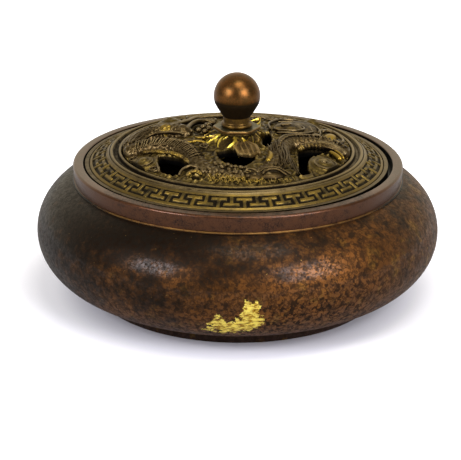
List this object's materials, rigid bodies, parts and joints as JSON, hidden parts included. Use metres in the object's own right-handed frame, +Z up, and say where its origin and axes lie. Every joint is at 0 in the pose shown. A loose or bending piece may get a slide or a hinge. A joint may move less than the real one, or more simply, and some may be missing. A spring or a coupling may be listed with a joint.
{
  "type": "incense burner",
  "caption": "Squat round bronze incense burner: bowl on a foot ring, flat rim collar, lift-off pierced dragon lid with a key-fret border and a ball knob.",
  "frame": {"origin": "centre of the foot ring, on the surface that the burner stands on", "axes": "+Z up along the axis of the bowl and the knob, front of the burner at -Y"},
  "size_m": [0.125, 0.125, 0.0693],
  "materials": {
    "belly_bronze": "mottled brown patina, waxed",
    "foot_bronze": "dark patina",
    "collar_bronze": "brown patina, polished lip",
    "lid_bronze": "olive bronze, gold on the high spots, dark recesses",
    "petal_gilt": "bright worn gilding",
    "knob_bronze": "polished coppery brown",
    "brass_fitting": "plain turned brass",
    "screw_steel": "plain",
    "mat_fibre": "pressed heat-proof fibre"
  },
  "bodies": {
    "bowl": {"bowl_shell": "belly_bronze", "foot_ring": "foot_bronze", "rim_collar": "collar_bronze"},
    "liner": {"liner_dish": "brass_fitting", "ash_mat": "mat_fibre", "coil_stand": "brass_fitting", "stand_pin": "brass_fitting"},
    "lid": {"lid_border": "lid_bronze", "dragon_medallion": "lid_bronze", "petal_seat": "petal_gilt", "knob_flange": "lid_bronze", "knob": "knob_bronze", "knob_screw": "screw_steel", "screw_washer": "brass_fitting"}
  },
  "joints": [
    {"name": "lid_lift", "type": "slide", "parent": "bowl", "child": "lid", "axis": [0, 0, 1], "range_m": [0, 0.06]},
    {"name": "liner_lift", "type": "slide", "parent": "bowl", "child": "liner", "axis": [0, 0, 1], "range_m": [0, 0.015]}
  ]
}
